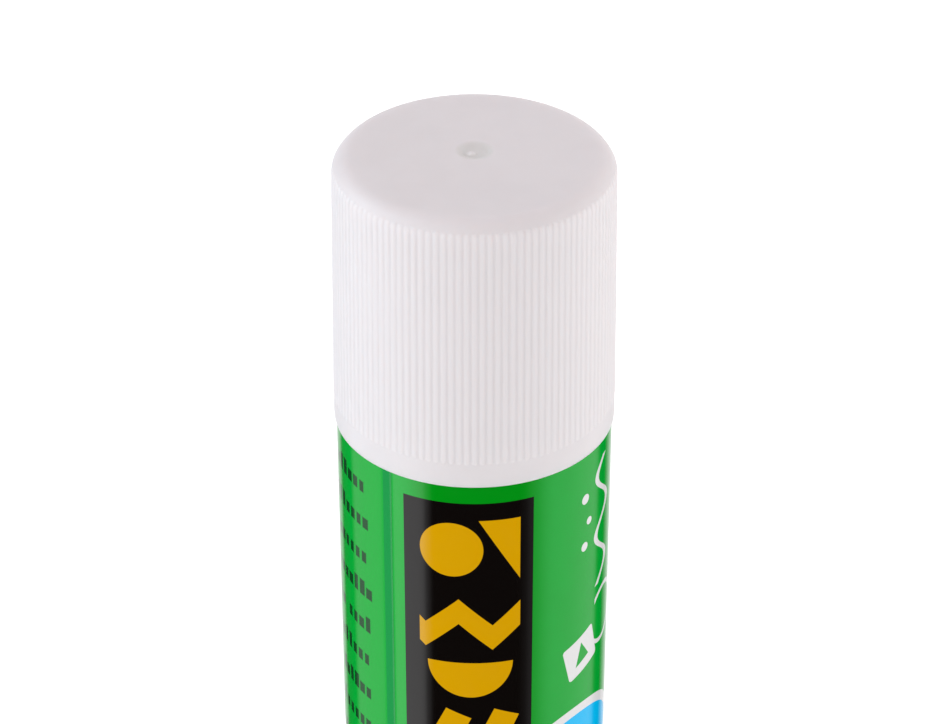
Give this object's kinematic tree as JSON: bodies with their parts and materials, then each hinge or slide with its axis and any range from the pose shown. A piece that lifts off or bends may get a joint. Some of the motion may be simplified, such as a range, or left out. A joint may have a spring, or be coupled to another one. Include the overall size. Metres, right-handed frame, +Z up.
{
  "type": "glue stick",
  "caption": "Twist-up glue stick with a ribbed pull-off cap, a film-labelled barrel and a ribbed turning knob that raises the glue on a threaded spindle.",
  "frame": {"origin": "centre of the base ring, on the surface the stick stands on", "axes": "+Z up along the stick's axis from knob to cap; -Y is the front, where the label's dark panel is"},
  "size_m": [0.0268, 0.0268, 0.098],
  "materials": {
    "cap_plastic": "satin white moulded polypropylene with fine upright ribs",
    "barrel_plastic": "smooth white moulded polypropylene",
    "label_film": "glossy printed green film, one wrap with a lapped seam",
    "glue_mass": "waxy off-white solid adhesive",
    "carrier_plastic": "natural moulded polypropylene",
    "spindle_plastic": "natural moulded polypropylene",
    "knob_plastic": "satin white moulded polypropylene with fine upright ribs"
  },
  "bodies": {
    "barrel": {"barrel": "barrel_plastic", "label": "label_film"},
    "knob": {"knob": "knob_plastic", "spindle": "spindle_plastic"},
    "carrier": {"carrier": "carrier_plastic", "glue": "glue_mass"},
    "cap": {"cap": "cap_plastic"}
  },
  "joints": [
    {"name": "knob_turn", "type": "hinge", "parent": "barrel", "child": "knob", "pos_m": [0, 0, 0.002], "axis": [0, 0, 1], "range_deg": [0, 3744]},
    {"name": "glue_rise", "type": "slide", "parent": "barrel", "child": "carrier", "axis": [0, 0, 1], "range_m": [0, 0.0521]},
    {"name": "cap_pull", "type": "slide", "parent": "carrier", "child": "cap", "axis": [0, 0, 1], "range_m": [0, 0.06]}
  ],
  "couplings": [
    {"joint": "glue_rise", "follows": "knob_turn", "m_per_rad": 0.00079577}
  ]
}
